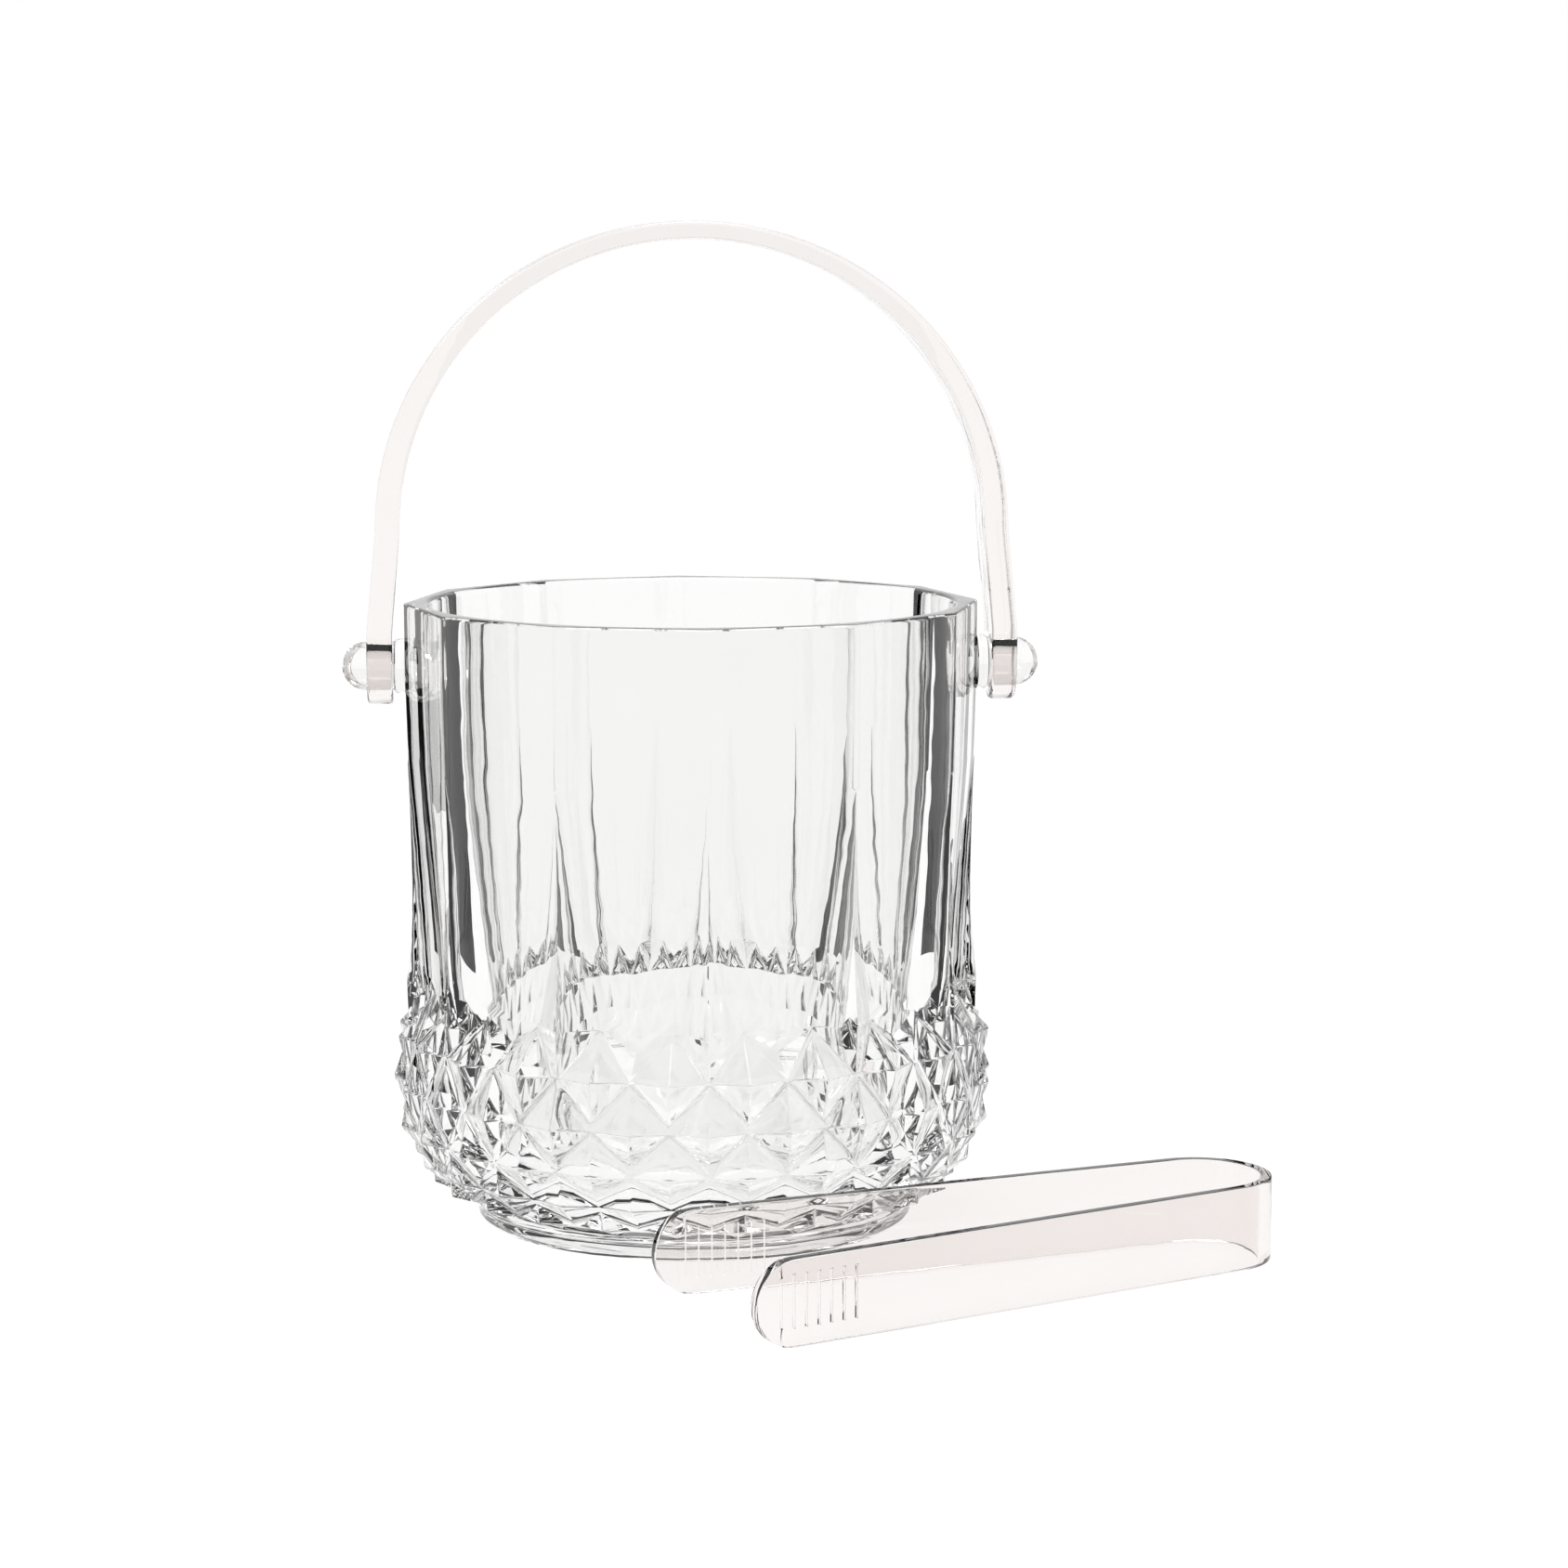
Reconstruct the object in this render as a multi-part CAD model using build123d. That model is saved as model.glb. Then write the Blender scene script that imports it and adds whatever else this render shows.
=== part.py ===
"""Pressed glass ice bucket with a swinging clear bail handle and a pair of clear ice tongs.

Millimetres, +Z up. The origin is the centre of the foot's resting plane, the front is -Y,
and the handle pivots on two studs on the X axis.
"""
import os
from math import atan2, cos, degrees, hypot, radians, sin

from build123d import *

os.makedirs("parts", exist_ok=True)

# ---- glass vessel -----------------------------------------------------------------------
SIDES = 12  # flat panels round the body, a vertical corner at each spike
CELLS = 24  # raised diamonds in each row of the lattice
HEIGHT = 140.0
RIM_SOFTEN = 0.8  # small bevel round the rim's outer edge
CORNER_R = [(140.0, 64.9), (105.0, 64.35), (76.0, 61.8), (52.7, 60.7)]  # (z, panel corner radius)
PANEL_END_Z = 48.0  # where each flat panel runs out at its middle
RIDGE = [(105.0, 64.35), (90.0, 63.8), (76.0, 63.6), (60.0, 64.4), (52.7, 65.2)]  # spike centre line
# Lattice rows from the top: height, radius at the points of the diamonds, radius in the grooves.
ROWS = [
    (42.8, 67.7, 65.0),
    (32.0, 68.4, 65.9),
    (21.9, 67.3, 64.7),
    (14.2, 63.6, 61.2),
    (8.9, 59.6, 57.2),
]
FOOT_TOP = (5.4, 50.2)  # z, radius where the lattice ends on the foot
FOOT_R = 49.4
FOOT_LAND = 4.6  # width of the flat ring it stands on
FOOT_HOLLOW = 2.4
# Inside wall: (radius, z), a smooth round bore narrowing to a thick floor.
RIM_BORE_R = 59.2
RIM_LIP = 1.0
BORE = [(59.0, 139.0), (56.8, 73.0), (55.4, 48.0), (54.0, 27.0)]
FLOOR_Z = 13.0
FLOOR_CORNER = 13.0

# ---- pivot studs ------------------------------------------------------------------------
PIVOT_Z = 125.8
BOSS_R = 6.2
BOSS_END_X = 66.9
PEG_R = 5.5
PEG_END_X = 73.2
STUD_ROOT_X = 60.6

# ---- bail handle ------------------------------------------------------------------------
STRAP_W = 17.2
EYE_FIT = 0.06  # radial clearance of the eye on its peg
LEG_IN = 67.2  # half width inside the straight ends that carry the eyes
LEG_OUT = 73.0
LEG_STRAIGHT = 8.0  # how far the straight ends run above the pivot
ARCH_Z = 156.4
ARCH_IN = (65.2, 64.4)  # inside half width and rise of the arch
ARCH_OUT = (70.8, 68.5)
HANDLE_SOFTEN = 0.9

# ---- ice tongs --------------------------------------------------------------------------
STRIP_W = 18.5
STRIP_T = 2.6
BOW_R = 14.3  # centre line of the bend
ARM_L = 121.2  # from the tips to the middle of the bend
TIP_HALF = 23.5  # half the spacing of the arms at the tips, on the centre line
GRIP_LINES = 7
GRIP_PITCH = 3.0
GRIP_FIRST = 6.5
GRIP_LEN = 11.0
GRIP_DEEP = 0.4
GRIP_WIDE = 0.7
TONGS_ANGLE = 22.9  # how the tongs lie beside the vessel, from +X
TONGS_TIP = (-3.4, -99.6)  # point on the floor midway between the tips


def polar(radius, angle, z):
    """A point at an angle in degrees round the vessel's axis."""
    return (radius * cos(radians(angle)), radius * sin(radians(angle)), z)


def on_panel(angle, z, corner_r):
    """A point on the flat panel that spans 0 to 30 degrees, at any angle inside it."""
    half = 180.0 / SIDES
    off = (angle % (2 * half)) - half
    return polar(corner_r * cos(radians(half)) / cos(radians(off)), angle, z)


def facet(*points):
    """One flat facet from its corners in order."""
    return Face(Wire.make_polygon([Vector(*p) for p in points], close=True))


def spread(z, table):
    """Radius at a height by straight lines between the listed heights."""
    for (z1, r1), (z0, r0) in zip(table, table[1:]):
        if z0 <= z <= z1:
            return r0 + (r1 - r0) * (z - z0) / (z1 - z0)
    (z1, r1), (z0, r0) = table[-2:]
    return r0 + (r1 - r0) * (z - z0) / (z1 - z0)


# Outside of the vessel: one closed shell of flat facets.
facets = []
step = 360.0 / SIDES
half_cell = 180.0 / CELLS
top_ring = []
rim_r = CORNER_R[0][1]
tip_z, tip_r = CORNER_R[1]
mid_z, mid_r = CORNER_R[2]
low_z, low_r = CORNER_R[3]
share = (tip_z - mid_z) / (tip_z - low_z)
row_z = [r[0] for r in ROWS]

for k in range(SIDES):
    a = k * step
    b = a + step
    top_ring.append(polar(rim_r - RIM_SOFTEN, a, HEIGHT))
    rim_a = polar(rim_r, a, HEIGHT - RIM_SOFTEN)
    rim_b = polar(rim_r, b, HEIGHT - RIM_SOFTEN)
    facets.append(
        facet(polar(rim_r - RIM_SOFTEN, a, HEIGHT), rim_a, rim_b, polar(rim_r - RIM_SOFTEN, b, HEIGHT))
    )
    tip_a = polar(tip_r, a, tip_z)
    tip_b = polar(tip_r, b, tip_z)
    facets.append(facet(rim_a, tip_a, tip_b, rim_b))
    # The panel narrows between the spikes as they widen downward.
    edge_a = on_panel(a + half_cell * share, mid_z, mid_r)
    edge_b = on_panel(b - half_cell * share, mid_z, mid_r)
    side_a = on_panel(a + half_cell, low_z, low_r)
    side_b = on_panel(b - half_cell, low_z, low_r)
    end_r = spread(PANEL_END_Z, CORNER_R)
    end = on_panel(a + step / 2, PANEL_END_Z, end_r)
    node = polar(ROWS[0][2], a + step / 2, ROWS[0][0])
    facets.append(facet(tip_a, edge_a, edge_b, tip_b))
    facets.append(facet(edge_a, side_a, end, side_b, edge_b))
    facets.append(facet(side_a, node, end))
    facets.append(facet(end, node, side_b))
    # The spike: two slopes falling away from its centre ridge.
    for side in (1, -1):
        ridge = [polar(r, a, z) for z, r in RIDGE]
        edge = on_panel(a + side * half_cell * share, mid_z, mid_r)
        corner = on_panel(a + side * half_cell, low_z, low_r)
        foot_node = polar(ROWS[0][2], a, ROWS[0][0])
        slopes = [
            (ridge[0], ridge[1], edge),
            (ridge[1], ridge[2], edge),
            (ridge[2], ridge[3], edge),
            (edge, ridge[3], corner),
            (ridge[3], ridge[4], corner),
            (ridge[4], foot_node, corner),
        ]
        for three in slopes:
            facets.append(facet(*three))

# Rows of raised diamonds, each a low pyramid with its own four slopes.
for i, (z, point_r, groove_r) in enumerate(ROWS):
    first = half_cell if i % 2 == 0 else 0.0
    for k in range(CELLS):
        a = first + k * 2 * half_cell
        peak = polar(point_r, a, z)
        left = polar(groove_r, a - half_cell, z)
        right = polar(groove_r, a + half_cell, z)
        if i == 0:
            above = on_panel(a, low_z, low_r)
        else:
            above = polar(ROWS[i - 1][2], a, row_z[i - 1])
        facets.append(facet(above, left, peak))
        facets.append(facet(above, peak, right))
        if i + 1 < len(ROWS):
            below = polar(ROWS[i + 1][2], a, row_z[i + 1])
            facets.append(facet(left, below, peak))
            facets.append(facet(peak, below, right))
        else:
            below = polar(FOOT_TOP[1], a, FOOT_TOP[0])
            below_left = polar(FOOT_TOP[1], a - half_cell, FOOT_TOP[0])
            below_right = polar(FOOT_TOP[1], a + half_cell, FOOT_TOP[0])
            facets.append(facet(left, below, peak))
            facets.append(facet(peak, below, right))
            facets.append(facet(left, below_left, below))
            facets.append(facet(right, below, below_right))

# The upright foot below the lattice, then the top and bottom lids.
bottom_ring = []
for k in range(2 * CELLS):
    a = k * half_cell
    b = a + half_cell
    bottom_ring.append(polar(FOOT_R, a, 0))
    facets.append(
        facet(polar(FOOT_TOP[1], a, FOOT_TOP[0]), polar(FOOT_R, a, 0), polar(FOOT_R, b, 0),
              polar(FOOT_TOP[1], b, FOOT_TOP[0]))
    )
facets.append(facet(*top_ring))
facets.append(facet(*bottom_ring))

body = Solid(Shell(facets))

# The smooth round bore, with a softened lip and a rounded corner at the floor.
with BuildPart() as bore:
    with BuildSketch(Plane.XZ):
        with BuildLine():
            Polyline((0, HEIGHT + 5), (RIM_BORE_R + RIM_LIP, HEIGHT + 5), (RIM_BORE_R + RIM_LIP, HEIGHT), BORE[0])
            Spline(*BORE, tangents=[(-0.03, -1), (-0.09, -1)])
            corner_low = (BORE[-1][0] - FLOOR_CORNER, FLOOR_Z)
            RadiusArc(BORE[-1], corner_low, FLOOR_CORNER + 0.6)
            Polyline(corner_low, (0, FLOOR_Z), (0, HEIGHT + 5))
        make_face()
    revolve(axis=Axis.Z)

# The shallow hollow inside the foot ring.
with BuildPart() as hollow:
    with BuildSketch(Plane.XZ):
        with BuildLine():
            inner = FOOT_R - FOOT_LAND
            Polyline((0, -1), (inner, -1), (inner, 0), (inner - 3.0, FOOT_HOLLOW), (0, FOOT_HOLLOW), (0, -1))
        make_face()
    revolve(axis=Axis.Z)

vessel = body - bore.part - hollow.part
export_step(vessel, "parts/glass_vessel.step")

# ---- the two pivot studs, each seated against the corner of the glass ---------------------
for name, side in (("left_stud", -1), ("right_stud", 1)):
    with BuildPart() as stud:
        with BuildSketch(Plane.XZ):
            with BuildLine():
                Polyline((STUD_ROOT_X, 0), (STUD_ROOT_X, BOSS_R), (BOSS_END_X - 0.4, BOSS_R),
                         (BOSS_END_X, BOSS_R - 0.4), (BOSS_END_X, PEG_R), (PEG_END_X, PEG_R))
                RadiusArc((PEG_END_X, PEG_R), (PEG_END_X + PEG_R, 0), PEG_R)
                Line((PEG_END_X + PEG_R, 0), (STUD_ROOT_X, 0))
            make_face()
        revolve(axis=Axis.X)
    placed = stud.part.moved(Location((0, 0, PIVOT_Z)))
    if side < 0:
        placed = placed.mirror(Plane.YZ)
    placed = placed - body
    export_step(placed, "parts/" + name + ".step")

# ---- the bail handle: one bent strap with a round eye at each end -------------------------
bottom_z = PIVOT_Z - STRAP_W / 2
bend_z = PIVOT_Z + LEG_STRAIGHT
with BuildPart() as bail:
    with BuildSketch(Plane.XZ):
        with BuildLine():
            EllipticalCenterArc((0, ARCH_Z), ARCH_OUT[0], ARCH_OUT[1], start_angle=0, arc_size=180)
            Polyline((-ARCH_OUT[0], ARCH_Z), (-LEG_OUT, bend_z), (-LEG_OUT, bottom_z),
                     (-LEG_IN, bottom_z), (-LEG_IN, bend_z), (-ARCH_IN[0], ARCH_Z))
            EllipticalCenterArc((0, ARCH_Z), ARCH_IN[0], ARCH_IN[1], start_angle=0, arc_size=180)
            Polyline((ARCH_IN[0], ARCH_Z), (LEG_IN, bend_z), (LEG_IN, bottom_z),
                     (LEG_OUT, bottom_z), (LEG_OUT, bend_z), (ARCH_OUT[0], ARCH_Z))
        make_face()
    extrude(amount=STRAP_W / 2, both=True)
    with BuildSketch(Plane.YZ):
        with Locations((0, PIVOT_Z)):
            Circle(STRAP_W / 2)
        with Locations((0, PIVOT_Z + 60)):
            Rectangle(STRAP_W, 120)
    extrude(amount=100, both=True, mode=Mode.INTERSECT)
long_edges = [e for e in bail.part.edges() if e.length > 60]
handle = fillet(long_edges, HANDLE_SOFTEN) if long_edges else bail.part
eye = Cylinder(PEG_R + EYE_FIT, 200, rotation=(0, 90, 0)).moved(Location((0, 0, PIVOT_Z)))
handle = handle - eye
export_step(handle, "parts/handle.step")

# ---- the tongs: one bent strip standing on its edge, parted at the crown of the bend -------
lean = atan2(TIP_HALF - BOW_R, ARM_L)
reach = hypot(TIP_HALF - BOW_R, ARM_L)
place = Location((TONGS_TIP[0], TONGS_TIP[1], 0), (0, 0, TONGS_ANGLE))
for name, side in (("tongs_back_arm", 1), ("tongs_front_arm", -1)):
    arm = Box(reach, STRIP_T, STRIP_W, align=(Align.MIN, Align.CENTER, Align.MIN))
    ends = Cylinder(STRIP_W / 2, STRIP_T, rotation=(90, 0, 0)).moved(Location((STRIP_W / 2, 0, STRIP_W / 2)))
    block = Box(reach, STRIP_T, STRIP_W, align=(Align.MIN, Align.CENTER, Align.MIN))
    block = block.moved(Location((STRIP_W / 2, 0, 0)))
    arm = arm & (ends + block)
    for g in range(GRIP_LINES):
        line = Box(GRIP_WIDE, GRIP_DEEP, GRIP_LEN)
        at = (GRIP_FIRST + g * GRIP_PITCH, -side * (STRIP_T - GRIP_DEEP) / 2, STRIP_W / 2)
        arm = arm - line.moved(Location(at))
    arm = arm.moved(Location((0, side * TIP_HALF, 0), (0, 0, -side * degrees(lean))))
    # A quarter of the bend, from the end of the arm to the crown.
    ring = Cylinder(BOW_R + STRIP_T / 2, STRIP_W, align=(Align.CENTER, Align.CENTER, Align.MIN))
    ring = ring - Cylinder(BOW_R - STRIP_T / 2, STRIP_W, align=(Align.CENTER, Align.CENTER, Align.MIN))
    quarter = Box(40, 40, STRIP_W, align=(Align.MIN, Align.MIN if side > 0 else Align.MAX, Align.MIN))
    bend = (ring & quarter).moved(Location((ARM_L, 0, 0)))
    one = (arm + bend).moved(place)
    export_step(one, "parts/" + name + ".step")
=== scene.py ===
import math

import bmesh
import bpy
from mathutils import Matrix, Vector


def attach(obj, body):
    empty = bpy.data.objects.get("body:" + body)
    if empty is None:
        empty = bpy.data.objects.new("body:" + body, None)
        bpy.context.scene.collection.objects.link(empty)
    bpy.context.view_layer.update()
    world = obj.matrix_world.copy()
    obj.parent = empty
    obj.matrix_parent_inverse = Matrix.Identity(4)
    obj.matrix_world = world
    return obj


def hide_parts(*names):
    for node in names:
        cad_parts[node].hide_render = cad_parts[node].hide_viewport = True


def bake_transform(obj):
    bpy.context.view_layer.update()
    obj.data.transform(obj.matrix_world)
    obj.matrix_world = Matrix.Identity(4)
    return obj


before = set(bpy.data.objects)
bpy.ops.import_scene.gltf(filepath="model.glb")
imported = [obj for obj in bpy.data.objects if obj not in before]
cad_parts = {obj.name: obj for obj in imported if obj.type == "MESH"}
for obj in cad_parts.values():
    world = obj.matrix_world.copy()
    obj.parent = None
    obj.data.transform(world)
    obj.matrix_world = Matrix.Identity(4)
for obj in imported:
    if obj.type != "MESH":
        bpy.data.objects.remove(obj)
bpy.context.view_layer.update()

# The table top: a wide round sheet of opal acrylic, pale and lit evenly from below.
table_top = bmesh.new()
bmesh.ops.create_circle(table_top, cap_ends=True, segments=96, radius=6.0)
bmesh.ops.translate(table_top, verts=table_top.verts, vec=(0, 0, -0.0005))
table_mesh = bpy.data.meshes.new("opal_table")
table_top.to_mesh(table_mesh)
table_top.free()
opal_table = bpy.data.objects.new("opal_table", table_mesh)
bpy.context.collection.objects.link(opal_table)
opal = bpy.data.materials.new("opal_white")
opal.use_nodes = True
opal_shader = opal.node_tree.nodes["Principled BSDF"]
opal_shader.inputs["Base Color"].default_value = (0.08, 0.08, 0.08, 1)
opal_shader.inputs["Roughness"].default_value = 0.9
opal_shader.inputs["Specular IOR Level"].default_value = 0.0
opal_shader.inputs["Emission Color"].default_value = (1, 1, 1, 1)
opal_shader.inputs["Emission Strength"].default_value = 0.98
table_mesh.materials.append(opal)

# Two black flags: curved cards standing on the table behind the bucket, one to each side, as is
# usual for clear glass. They give it its dark edge bands. The camera itself does not see them, so
# they show only in reflections and through the glass.
flag_black = bpy.data.materials.new("flag_black")
flag_black.use_nodes = True
flag_shader = flag_black.node_tree.nodes["Principled BSDF"]
flag_shader.inputs["Base Color"].default_value = (0.015, 0.015, 0.016, 1)
flag_shader.inputs["Roughness"].default_value = 0.9
flag_shader.inputs["Specular IOR Level"].default_value = 0.0
flag_reach, flag_height = 0.25, 0.10
for flag_name, start, stop in (("flag_right", 14, 50), ("flag_left", 130, 166)):
    card = bmesh.new()
    for k in range(13):
        a = math.radians(start + (stop - start) * k / 12)
        pair = [card.verts.new((flag_reach * math.cos(a), flag_reach * math.sin(a), z)) for z in (0.0,
            flag_height)]
        if k:
            card.faces.new((last[0], pair[0], pair[1], last[1]))
        last = pair
    card_mesh = bpy.data.meshes.new(flag_name)
    card.to_mesh(card_mesh)
    card.free()
    card_mesh.materials.append(flag_black)
    flag = bpy.data.objects.new(flag_name, card_mesh)
    bpy.context.collection.objects.link(flag)
    flag.visible_camera = False
    flag.visible_shadow = False

# Room light: a plain white room, a broad soft box above and a small one at the front left for the
# sparkle on the rim, the tongs' bend and the studs.
room = bpy.data.worlds.new("white_room")
room.use_nodes = True
room.node_tree.nodes["Background"].inputs["Color"].default_value = (1, 1, 1, 1)
room.node_tree.nodes["Background"].inputs["Strength"].default_value = 1.0
bpy.context.scene.world = room
bpy.context.scene.view_settings.view_transform = "Standard"
for lamp_name, spot, aim, size, power in (
    ("softbox_top", (0.1, -0.1, 1.3), (0, 0, 0), 0.9, 6),
    ("softbox_front_left", (-0.75, -1.0, 0.9), (0, 0, 0.1), 0.35, 5),
):
    lamp = bpy.data.lights.new(lamp_name, "AREA")
    lamp.size = size
    lamp.energy = power
    lamp_object = bpy.data.objects.new(lamp_name, lamp)
    lamp_object.location = spot
    lamp_object.rotation_euler = (Vector(aim) - Vector(spot)).to_track_quat("-Z", "Y").to_euler()
    bpy.context.collection.objects.link(lamp_object)

# The camera: a long lens a little above the rim, turned three degrees to the left of the front.
camera = bpy.data.cameras.new("camera")
camera.lens = 91.94
camera.sensor_width = 36
camera.clip_end = 20
camera_object = bpy.data.objects.new("camera", camera)
camera_turn = math.radians(-2.97)
camera_object.location = (0.900 * math.sin(camera_turn), -0.900 * math.cos(camera_turn), 0.2258)
camera_object.rotation_euler = (math.radians(90 - 8.07), 0, camera_turn - math.radians(1.323))
bpy.context.collection.objects.link(camera_object)
bpy.context.scene.camera = camera_object

# The glass bucket: one heavy pressing, clear and fire polished. Twelve flat panels meet at twelve
# upright corners, a long spike stands on each corner, and rows of diamonds wrap the swelling base
# above a plain foot. Every arris is softened by the mould and the flame; the bore is smooth.
def at(radius, angle, z):
    """A point round the bucket's axis, from millimetres and degrees."""
    a = math.radians(angle)
    return Vector((radius * math.cos(a), radius * math.sin(a), z)) / 1000


def on_panel(angle, z, corner_radius):
    """A point on the flat panel between the corners at 0 and 30 degrees."""
    return at(corner_radius * math.cos(math.radians(15)) / math.cos(math.radians(angle - 15)), angle, z)


def drawn_through(bm, rows):
    """A sheet drawn from one row of points through each of the next rows."""
    front = [bm.verts.new(p) for p in rows[0]]
    edges = [bm.edges.new(pair) for pair in zip(front, front[1:])]
    for row in rows[1:]:
        made = bmesh.ops.extrude_edge_only(bm, edges=edges)["geom"]
        fresh = {v for v in made if isinstance(v, bmesh.types.BMVert)}
        front = [next(e.other_vert(v) for e in v.link_edges if e.other_vert(v) in fresh) for v in front]
        for v, p in zip(front, row):
            v.co = p
        edges = [bm.edges.get(pair) for pair in zip(front, front[1:])]


tip_z, base_z = 105.0, 52.7
# Height, radius at the upright corner of the panels, radius along the spike's centre ridge.
stations = [
    (105.0, 64.35, 64.35), (99.0, 63.85, 64.1), (92.0, 63.2, 63.85), (84.0, 62.5, 63.7), (76.0, 61.8,
    63.6),
    (69.0, 61.3, 63.75), (63.0, 61.0, 64.15), (57.5, 60.8, 64.7), (52.7, 60.7, 65.2),
]
glass = bmesh.new()
panel_rows = [[on_panel(0, z, r), on_panel(15, z, r)] for z, r in ((140, 64.9), (130, 64.87),
    (120, 64.75))]
spike_rows = []
for z, corner_radius, ridge_radius in stations:
    spread = 7.5 * (tip_z - z) / (tip_z - base_z)
    panel_rows.append([on_panel(spread, z, corner_radius), on_panel(15, z, corner_radius)])
    spike_rows.append([at(ridge_radius, 0, z), on_panel(spread, z, corner_radius)])
shoulder = on_panel(7.5, base_z, 60.7)
panel_rows.append([shoulder, on_panel(15, 48.0, 61.0)])
panel_rows.append([shoulder, at(65.0, 15, 42.8)])
spike_rows.append([at(65.0, 0, 42.8), shoulder])
drawn_through(glass, panel_rows)
drawn_through(glass, spike_rows)
bmesh.ops.remove_doubles(glass, verts=glass.verts, dist=2e-6)
half = glass.verts[:] + glass.edges[:] + glass.faces[:]
bmesh.ops.mirror(glass, geom=half, matrix=Matrix.Rotation(math.radians(-15), 4, "Z"), merge_dist=-1,
    axis="Y")
bmesh.ops.spin(glass, geom=glass.verts[:] + glass.edges[:] + glass.faces[:], cent=(0, 0, 0), axis=(0,
    0, 1), angle=math.radians(330), steps=11, use_duplicate=True)
upright = glass.faces[:]

# Diamond rows from the top: height, radius at the point, radius in the grooves that cross beside it.
diamond_rows = [(42.8, 67.7, 65.0), (32.0, 68.4, 65.9), (21.9, 67.3, 64.7), (14.2, 63.7, 61.2), (8.9,
    59.8, 57.2)]
foot_top = (50.2, 5.2)
diamonds = []
for i, (z, point_radius, groove_radius) in enumerate(diamond_rows):
    middle = 7.5 if i % 2 == 0 else 0.0
    above = on_panel(7.5, base_z, 60.7) if i == 0 else at(diamond_rows[i - 1][2], middle,
        diamond_rows[i - 1][0])
    below = at(diamond_rows[i + 1][2], middle, diamond_rows[i + 1][0]) if i < 4 else at(foot_top[0],
        middle, foot_top[1])
    left = at(groove_radius, middle - 7.5, z)
    right = at(groove_radius, middle + 7.5, z)
    corners = [glass.verts.new(p) for p in (above, left, below, right)]
    diamonds.append((glass.faces.new(corners), at(point_radius, middle, z)))
low = [glass.verts.new(p) for p in (at(57.2, 0, 8.9), at(foot_top[0], -7.5, foot_top[1]),
    at(foot_top[0], 0, foot_top[1]), at(foot_top[0], 7.5, foot_top[1]))]
glass.faces.new((low[0], low[1], low[2]))
glass.faces.new((low[0], low[2], low[3]))
bmesh.ops.recalc_face_normals(glass, faces=[f for f, _ in diamonds])
for face, point in diamonds:
    if face.normal.dot(Vector((face.calc_center_median().x, face.calc_center_median().y, 0))) < 0:
        face.normal_flip()
    rim_faces = bmesh.ops.inset_individual(glass, faces=[face], thickness=0.00115, depth=0.0003,
        use_even_offset=True)["faces"]
    poked = bmesh.ops.poke(glass, faces=[face], offset=0)
    poked["verts"][0].co = point
placed = set(upright)
column = [f for f in glass.faces if f not in placed]
column_parts = dict.fromkeys(g for f in column for g in (f, *f.edges, *f.verts))
bmesh.ops.spin(glass, geom=list(column_parts), cent=(0, 0, 0), axis=(0, 0, 1), angle=math.radians(345),
    steps=23, use_duplicate=True)
bmesh.ops.remove_doubles(glass, verts=glass.verts, dist=2e-5)

# The plain foot, drawn down and in under the base ring by ring, with its shallow hollow.
def drawn_ring(bm, ring, radius, z):
    """Draws a closed ring of edges on to a new radius and height, in millimetres."""
    made = bmesh.ops.extrude_edge_only(bm, edges=ring)["geom"]
    fresh = {v for v in made if isinstance(v, bmesh.types.BMVert)}
    for v in fresh:
        flat = v.co.xy.normalized() * radius / 1000
        v.co = (flat.x, flat.y, z / 1000)
    return [e for e in made if isinstance(e, bmesh.types.BMEdge) and fresh.issuperset(e.verts)]


def closed_at(bm, ring, z):
    """Closes a ring to a point on the axis."""
    hub = bm.verts.new((0, 0, z / 1000))
    for e in ring:
        bm.faces.new((e.verts[0], e.verts[1], hub))


ring = [e for e in glass.edges if e.is_boundary and all(v.co.z < 0.006 for v in e.verts)]
for radius, z in ((49.7, 3.6), (49.4, 0.9), (48.6, 0.0), (45.4, 0.0), (44.2, 0.5), (42.0, 2.0), (39.5,
        2.4), (20.0, 2.7)):
    ring = drawn_ring(glass, ring, radius, z)
closed_at(glass, ring, 2.75)

# The flat rim and the smooth bore: softened lip, waisted wall, round corner, domed floor.
ring = [e for e in glass.edges if e.is_boundary and all(v.co.z > 0.1399 for v in e.verts)]
bmesh.ops.subdivide_edges(glass, edges=ring, cuts=3)
ring = [e for e in glass.edges if e.is_boundary and all(v.co.z > 0.1399 for v in e.verts)]
bore_line = [(60.3, 140.0), (59.7, 139.85), (59.25, 139.45), (59.05, 138.8), (58.9, 134.0), (58.6,
    125.0), (58.2, 112.0), (57.7, 98.0),
             (57.2, 85.0), (56.8, 73.0), (56.3, 62.0), (55.8, 52.0), (55.2, 42.0), (54.5, 33.0), (53.9,
             28.0), (52.6, 23.0),
             (50.4, 19.0), (47.2, 16.0), (43.0, 14.2), (38.0, 13.4), (28.0, 13.1), (15.0, 13.0)]
for radius, z in bore_line:
    ring = drawn_ring(glass, ring, radius, z)
closed_at(glass, ring, 13.0)
bmesh.ops.recalc_face_normals(glass, faces=glass.faces)

# Softened edges: the rim, the upright corners, the diamonds' crests and the foot of each spike's ridge.
def turned(edge, least):
    return len(edge.link_faces) == 2 and edge.calc_face_angle(0) > math.radians(least)


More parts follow.
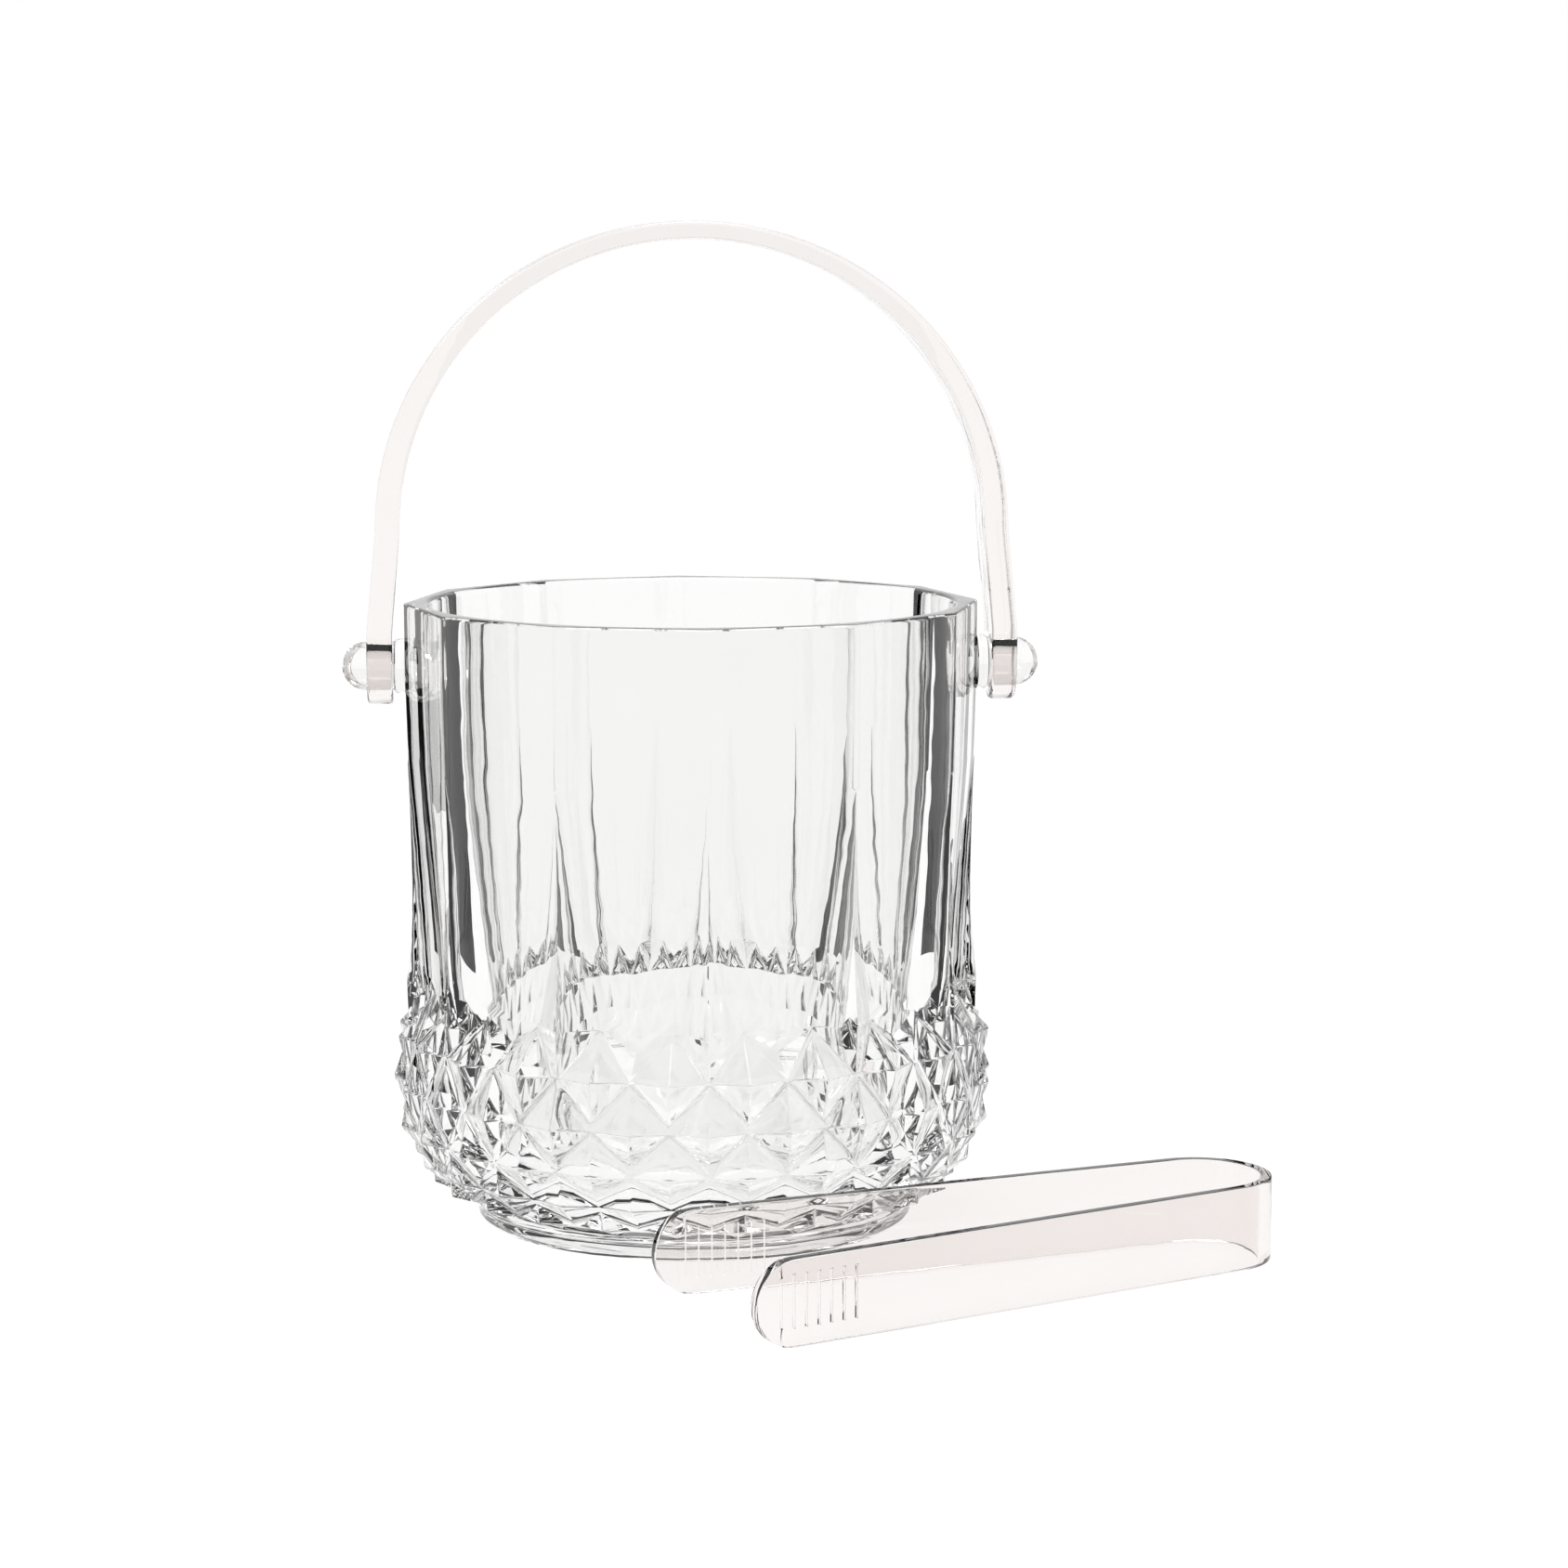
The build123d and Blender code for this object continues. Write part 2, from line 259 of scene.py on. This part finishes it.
outer_rim = [e for e in glass.edges if turned(e, 60) and all(v.co.z > 0.1399
    and v.co.xy.length > 0.062 for v in e.verts)]
bmesh.ops.bevel(glass, geom=outer_rim, offset=0.0009, offset_type="OFFSET", segments=3, profile=0.5,
    affect="EDGES", material=-1)
corners = [e for e in glass.edges if turned(e, 20) and all(0.1045 < v.co.z < 0.1395
    and v.co.xy.length > 0.0635 for v in e.verts)]
bmesh.ops.bevel(glass, geom=corners, offset=0.0011, offset_type="OFFSET", segments=3, profile=0.5,
    affect="EDGES", material=-1, clamp_overlap=True)
crests = [e for e in glass.edges if turned(e, 9) and e.is_convex and all(0.006 < v.co.z < 0.0529
    and v.co.xy.length > 0.0575 for v in e.verts)]
bmesh.ops.bevel(glass, geom=crests, offset=0.0004, offset_type="OFFSET", segments=2, profile=0.5,
    affect="EDGES", material=-1, clamp_overlap=True)
bmesh.ops.recalc_face_normals(glass, faces=glass.faces)
for f in glass.faces:
    f.smooth = True
for e in glass.edges:
    e.smooth = not turned(e, 28)
vessel_mesh = bpy.data.meshes.new("pressed_glass_bucket")
glass.to_mesh(vessel_mesh)
glass.free()
vessel = bpy.data.objects.new("pressed_glass_bucket", vessel_mesh)
bpy.context.collection.objects.link(vessel)
weighted = vessel.modifiers.new("flat facets, soft edges", "WEIGHTED_NORMAL")
weighted.keep_sharp = True

# Clear glass as pressed: faint flow ripple from the mould, a breath of haze where the plunger chilled it.
crystal = bpy.data.materials.new("clear_pressed_glass")
crystal.use_nodes = True
tree = crystal.node_tree
shader = tree.nodes["Principled BSDF"]
shader.inputs["Transmission Weight"].default_value = 1.0
shader.inputs["IOR"].default_value = 1.52


def surface_variation(name, ripple_scale, fleck_scale):
    """A node group for clear pieces: tint, polish and ripple that wander slowly over the surface."""
    group = bpy.data.node_groups.new(name, "ShaderNodeTree")
    for label, kind in (("Light Tint", "NodeSocketColor"), ("Deep Tint", "NodeSocketColor"),
            ("Smoothest", "NodeSocketFloat"), ("Haziest", "NodeSocketFloat")):
        group.interface.new_socket(name=label, in_out="INPUT", socket_type=kind)
    for label, kind in (("Tint", "NodeSocketColor"), ("Polish", "NodeSocketFloat"), ("Ripple",
            "NodeSocketFloat")):
        group.interface.new_socket(name=label, in_out="OUTPUT", socket_type=kind)
    made = group.nodes
    way_in = made.new("NodeGroupInput")
    way_out = made.new("NodeGroupOutput")
    where = made.new("ShaderNodeTexCoord")
    slow = made.new("ShaderNodeTexNoise")
    slow.inputs["Scale"].default_value = ripple_scale
    slow.inputs["Detail"].default_value = 2.0
    fine = made.new("ShaderNodeTexNoise")
    fine.inputs["Scale"].default_value = fleck_scale
    fine.inputs["Detail"].default_value = 4.0
    tint = made.new("ShaderNodeMix")
    tint.data_type = "RGBA"
    polish = made.new("ShaderNodeMapRange")
    polish.inputs["From Min"].default_value = 0.45
    polish.inputs["From Max"].default_value = 0.75
    links = group.links
    links.new(where.outputs["Object"], slow.inputs["Vector"])
    links.new(where.outputs["Object"], fine.inputs["Vector"])
    links.new(slow.outputs["Fac"], tint.inputs["Factor"])
    links.new(way_in.outputs["Light Tint"], tint.inputs["A"])
    links.new(way_in.outputs["Deep Tint"], tint.inputs["B"])
    links.new(fine.outputs["Fac"], polish.inputs["Value"])
    links.new(way_in.outputs["Smoothest"], polish.inputs["To Min"])
    links.new(way_in.outputs["Haziest"], polish.inputs["To Max"])
    links.new(tint.outputs["Result"], way_out.inputs["Tint"])
    links.new(polish.outputs["Result"], way_out.inputs["Polish"])
    links.new(slow.outputs["Fac"], way_out.inputs["Ripple"])
    return group


def dress(tree, shader, group, light, deep, smoothest, haziest, ripple_depth):
    """Places the variation group in a material with that finish's own values."""
    node = tree.nodes.new("ShaderNodeGroup")
    node.node_tree = group
    node.inputs["Light Tint"].default_value = light
    node.inputs["Deep Tint"].default_value = deep
    node.inputs["Smoothest"].default_value = smoothest
    node.inputs["Haziest"].default_value = haziest
    bump = tree.nodes.new("ShaderNodeBump")
    bump.inputs["Strength"].default_value = 1.0
    bump.inputs["Distance"].default_value = ripple_depth
    tree.links.new(node.outputs["Tint"], shader.inputs["Base Color"])
    tree.links.new(node.outputs["Polish"], shader.inputs["Roughness"])
    tree.links.new(node.outputs["Ripple"], bump.inputs["Height"])
    tree.links.new(bump.outputs["Normal"], shader.inputs["Normal"])


clear_surface = surface_variation("clear_surface", 45.0, 260.0)
dress(tree, shader, clear_surface, (0.925, 0.925, 0.921, 1), (0.90, 0.90, 0.896, 1), 0.0, 0.025, 0.0003)
vessel_mesh.materials.append(crystal)
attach(vessel, "bucket")
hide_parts("glass_vessel")

# The two pivot studs: a round boss on the corner of the glass, a peg through the handle's eye, and
# a domed end. Turned here as one outline about the pivot line, and mirrored for the other side.
stud_line = [(64.55, 0.0), (64.55, 6.2), (66.3, 6.2), (66.7, 6.05), (66.9, 5.7), (67.0, 5.5), (73.2,
    5.5), (74.6, 5.32), (75.95, 4.76), (77.1, 3.89), (77.95, 2.75), (78.5, 1.42), (78.7, 0.0)]
for stud_name, node_name, side in (("stud_right", "right_stud", 1), ("stud_left", "left_stud", -1)):
    stud = bmesh.new()
    line = [stud.verts.new((side * x / 1000, 0, 0.1258 + r / 1000)) for x, r in stud_line]
    chain = [stud.edges.new(pair) for pair in zip(line, line[1:])]
    bmesh.ops.spin(stud, geom=line + chain, cent=(0, 0, 0.1258), axis=(1, 0, 0),
        angle=math.radians(360), steps=48, use_merge=True)
    bmesh.ops.remove_doubles(stud, verts=stud.verts, dist=1e-6)
    bmesh.ops.recalc_face_normals(stud, faces=stud.faces)
    for f in stud.faces:
        f.smooth = True
    for e in stud.edges:
        e.smooth = not turned(e, 35)
    stud_mesh = bpy.data.meshes.new(stud_name)
    stud.to_mesh(stud_mesh)
    stud.free()
    stud_mesh.materials.append(crystal)
    stud_object = bpy.data.objects.new(stud_name, stud_mesh)
    bpy.context.collection.objects.link(stud_object)
    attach(stud_object, "bucket")
    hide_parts(node_name)

# The bail handle: one strap of clear acrylic, bent warm into an arch, thinner at the crown, with a
# round eye through each rounded end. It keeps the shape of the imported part, with its facets merged.
acrylic = bpy.data.materials.new("clear_acrylic")
acrylic.use_nodes = True
acrylic_shader = acrylic.node_tree.nodes["Principled BSDF"]
acrylic_shader.inputs["Transmission Weight"].default_value = 1.0
acrylic_shader.inputs["IOR"].default_value = 1.49
dress(acrylic.node_tree, acrylic_shader, clear_surface, (0.90, 0.87, 0.86, 1), (0.88, 0.845, 0.83, 1),
    0.005, 0.05, 0.0002)
strap = bmesh.new()
strap.from_mesh(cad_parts["handle"].data)
bmesh.ops.remove_doubles(strap, verts=strap.verts, dist=1e-6)
for f in strap.faces:
    f.smooth = True
for e in strap.edges:
    e.smooth = not turned(e, 30)
strap_mesh = bpy.data.meshes.new("bail_handle")
strap.to_mesh(strap_mesh)
strap.free()
strap_mesh.materials.clear()
strap_mesh.materials.append(acrylic)
bail = bpy.data.objects.new("bail_handle", strap_mesh)
bpy.context.collection.objects.link(bail)
even = bail.modifiers.new("even faces", "WEIGHTED_NORMAL")
even.keep_sharp = True
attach(bail, "handle")
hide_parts("handle")

# The ice tongs: one strip of clear acrylic bent round at the crown, with half-round tips and fine
# grip lines cut inside them. One continuous piece.
strip_w, strip_t = 18.5, 2.6
bend_r, arm_l, tip_half = 14.3, 121.2, 23.5
lie = Matrix.Translation((-0.0034, -0.0996, 0)) @ Matrix.Rotation(math.radians(22.9), 4, "Z")
lean = math.atan2(tip_half - bend_r, arm_l)
arm_run = math.hypot(tip_half - bend_r, arm_l)


def along_strip(s):
    """Centre line point, outward direction, and how far s is from the tip, for s from 0 at one tip."""
    whole = 2 * arm_run + math.pi * bend_r
    side = 1 if s <= whole / 2 else -1
    t = s if side > 0 else whole - s
    if t <= arm_run:
        x, y = t * math.cos(lean), tip_half - t * math.sin(lean)
        out = Vector((math.sin(lean), math.cos(lean), 0))
    else:
        a = math.pi / 2 - (t - arm_run) / bend_r
        x, y = arm_l + bend_r * math.cos(a), bend_r * math.sin(a)
        out = Vector((math.cos(a), math.sin(a), 0))
    return Vector((x, side * y, 0)), Vector((out.x, side * out.y, 0)), t


whole_run = 2 * arm_run + math.pi * bend_r
half_w = strip_w / 2
near = [0.02, 0.25, 0.7, 1.4, 2.3, 3.4, 4.6, 5.6]
for g in range(7):
    middle = 6.5 + 3.0 * g
    near += [middle - 0.38, middle - 0.2, middle + 0.2, middle + 0.38]
    near.append(middle + 1.5)
near += [32, 45, 60, 75, 90, 105, arm_run]
near += [arm_run + math.pi * bend_r / 2 * k / 14 for k in range(1, 14)]
steps_along = near + [whole_run / 2] + [whole_run - s for s in reversed(near)]
levels = [-1.0, -0.9, -0.62, -0.58, -0.2, 0.2, 0.58, 0.62, 0.9, 1.0]
rows = []
for s in steps_along:
    centre, out, t = along_strip(s)
    reach = half_w if t > half_w else math.sqrt(max(half_w ** 2 - (half_w - t) ** 2, 0.0))
    inner = centre - out * (strip_t / 2)
    rows.append([(inner + Vector((0, 0, half_w + reach * level))) / 1000 for level in levels])
tongs = bmesh.new()
drawn_through(tongs, rows)
face_inner = tongs.faces[:]
outer = bmesh.ops.extrude_face_region(tongs, geom=face_inner)["geom"]
ways = [along_strip(s) for s in steps_along]
for v in outer:
    if isinstance(v, bmesh.types.BMVert):
        centre, out, t = min(ways,
            key=lambda w: ((w[0] - w[1] * (strip_t / 2)) / 1000 - Vector((v.co.x, v.co.y,
            0))).length_squared)
        v.co += out * (strip_t / 1000)
bmesh.ops.remove_doubles(tongs, verts=tongs.verts, dist=1e-7)
bmesh.ops.recalc_face_normals(tongs, faces=tongs.faces)
# The grip lines: shallow cuts across the inner faces near both tips.
for v in tongs.verts:
    for centre, out, t in ways:
        if any(abs(t - (6.5 + 3.0 * g)) < 0.25 for g in range(7)):
            spot = (centre - out * (strip_t / 2)) / 1000
            if (Vector((v.co.x, v.co.y,
                    0)) - spot).length < 1e-5 and abs(v.co.z * 1000 - half_w) < 0.59 * half_w:
                v.co += out * 0.0004
                break
arris = [e for e in tongs.edges if turned(e, 60) and abs(e.calc_face_angle(0)) > 1.2
    and (max(v.co.z for v in e.verts) > 0.0182 or min(v.co.z for v in e.verts) < 0.0003)]
bmesh.ops.bevel(tongs, geom=arris, offset=0.0004, offset_type="OFFSET", segments=2, profile=0.5,
    affect="EDGES", material=-1, clamp_overlap=True)
bmesh.ops.transform(tongs, matrix=lie, verts=tongs.verts)
bmesh.ops.recalc_face_normals(tongs, faces=tongs.faces)
for f in tongs.faces:
    f.smooth = True
for e in tongs.edges:
    e.smooth = not turned(e, 30)
tongs_mesh = bpy.data.meshes.new("ice_tongs")
tongs.to_mesh(tongs_mesh)
tongs.free()
tongs_acrylic = acrylic.copy()
tongs_acrylic.name = "tongs_clear_acrylic"
tongs_mesh.materials.append(tongs_acrylic)
ice_tongs = bpy.data.objects.new("ice_tongs", tongs_mesh)
bpy.context.collection.objects.link(ice_tongs)
even = ice_tongs.modifiers.new("even faces", "WEIGHTED_NORMAL")
even.keep_sharp = True
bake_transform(ice_tongs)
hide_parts("tongs_back_arm", "tongs_front_arm")
